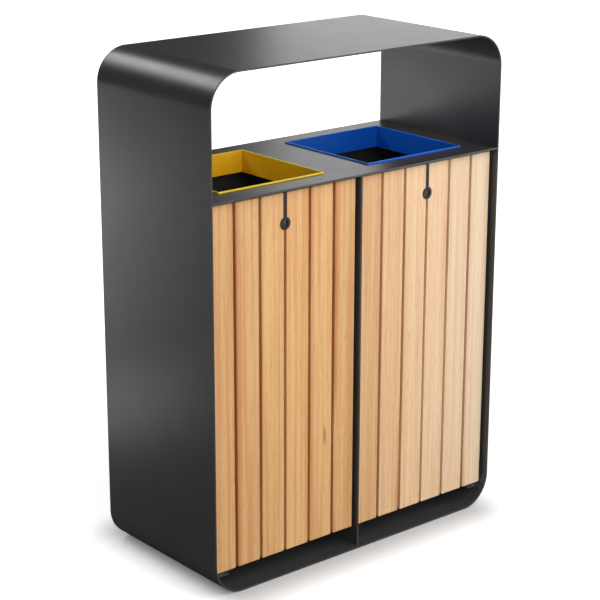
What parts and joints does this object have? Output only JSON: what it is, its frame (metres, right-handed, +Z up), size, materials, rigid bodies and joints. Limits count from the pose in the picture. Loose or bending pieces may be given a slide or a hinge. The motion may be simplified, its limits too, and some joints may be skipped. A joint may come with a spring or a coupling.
{
  "type": "twin litter bin",
  "caption": "Free-standing outdoor recycling bin: a rounded steel loop forms sides, canopy and base, with colour-marked chutes over lift-out liners behind slatted wooden doors.",
  "frame": {"origin": "on the ground, under the middle of the bin", "axes": "+X to the right seen from the front, +Y to the back (the doors face -Y), +Z up"},
  "size_m": [0.9, 0.435, 1.245],
  "materials": {
    "powder_coat": "fine-textured anthracite powder coat, satin",
    "larch": "planed larch, oiled, straight vertical grain with small knots",
    "yellow_coat": "yellow powder coat, satin",
    "blue_coat": "blue powder coat, satin",
    "galvanised_steel": "hot-dip galvanised, dull with a faint spangle",
    "stainless_steel": "dark satin stainless steel",
    "black_nylon": "moulded black nylon",
    "black_rubber": "dull black rubber"
  },
  "bodies": {
    "cabinet": {"outer_frame": "powder_coat", "deck_plate": "powder_coat", "centre_divider": "powder_coat", "rear_panel": "powder_coat", "deck_bracket_left": "powder_coat", "chute_left": "yellow_coat", "liner_left": "galvanised_steel", "liner_stand_left": "galvanised_steel", "handle_bracket_left_outer": "galvanised_steel", "handle_bracket_left_inner": "galvanised_steel", "hinge_pin_upper_left": "stainless_steel", "hinge_pin_lower_left": "stainless_steel", "hinge_bracket_left": "powder_coat", "lock_keeper_left": "powder_coat", "door_stop_left": "powder_coat", "door_buffer_left": "black_rubber", "deck_bracket_right": "powder_coat", "chute_right": "blue_coat", "liner_right": "galvanised_steel", "liner_stand_right": "galvanised_steel", "handle_bracket_right_outer": "galvanised_steel", "handle_bracket_right_inner": "galvanised_steel", "hinge_pin_upper_right": "stainless_steel", "hinge_pin_lower_right": "stainless_steel", "hinge_bracket_right": "powder_coat", "lock_keeper_right": "powder_coat", "door_stop_right": "powder_coat", "door_buffer_right": "black_rubber"},
    "door_left": {"door_frame_left": "powder_coat", "slat_left_1": "larch", "slat_left_2": "larch", "slat_left_3": "larch", "slat_left_4": "larch", "slat_left_5": "larch", "slat_left_6": "larch", "hinge_bush_upper_left": "black_nylon", "hinge_bush_lower_left": "black_nylon", "lock_plate_left": "stainless_steel", "lock_body_left": "stainless_steel"},
    "lock_left": {"lock_core_left": "stainless_steel", "lock_cam_left": "galvanised_steel"},
    "handle_left_outer": {"drop_handle_left_outer": "galvanised_steel"},
    "handle_left_inner": {"drop_handle_left_inner": "galvanised_steel"},
    "door_right": {"door_frame_right": "powder_coat", "slat_right_1": "larch", "slat_right_2": "larch", "slat_right_3": "larch", "slat_right_4": "larch", "slat_right_5": "larch", "slat_right_6": "larch", "hinge_bush_upper_right": "black_nylon", "hinge_bush_lower_right": "black_nylon", "lock_plate_right": "stainless_steel", "lock_body_right": "stainless_steel"},
    "lock_right": {"lock_core_right": "stainless_steel", "lock_cam_right": "galvanised_steel"},
    "handle_right_outer": {"drop_handle_right_outer": "galvanised_steel"},
    "handle_right_inner": {"drop_handle_right_inner": "galvanised_steel"}
  },
  "joints": [
    {"name": "door_left_hinge", "type": "hinge", "parent": "cabinet", "child": "door_left", "pos_m": [-0.41875, -0.191, 0.5], "axis": [0, 0, 1], "range_deg": [-100, 0]},
    {"name": "lock_left_turn", "type": "hinge", "parent": "door_left", "child": "lock_left", "pos_m": [-0.22425, -0.1575, 0.872], "axis": [0, 1, 0], "range_deg": [0, 90]},
    {"name": "handle_left_outer_swing", "type": "hinge", "parent": "cabinet", "child": "handle_left_outer", "pos_m": [-0.41075, 0.017, 0.78], "axis": [0, 1, 0], "range_deg": [0, 90]},
    {"name": "handle_left_inner_swing", "type": "hinge", "parent": "cabinet", "child": "handle_left_inner", "pos_m": [-0.03775, 0.017, 0.78], "axis": [0, 1, 0], "range_deg": [-90, 0]},
    {"name": "door_right_hinge", "type": "hinge", "parent": "cabinet", "child": "door_right", "pos_m": [0.41875, -0.191, 0.5], "axis": [0, 0, 1], "range_deg": [0, 100]},
    {"name": "lock_right_turn", "type": "hinge", "parent": "door_right", "child": "lock_right", "pos_m": [0.22425, -0.1575, 0.872], "axis": [0, 1, 0], "range_deg": [0, 90]},
    {"name": "handle_right_outer_swing", "type": "hinge", "parent": "cabinet", "child": "handle_right_outer", "pos_m": [0.41075, 0.017, 0.78], "axis": [0, 1, 0], "range_deg": [-90, 0]},
    {"name": "handle_right_inner_swing", "type": "hinge", "parent": "cabinet", "child": "handle_right_inner", "pos_m": [0.03775, 0.017, 0.78], "axis": [0, 1, 0], "range_deg": [0, 90]}
  ]
}
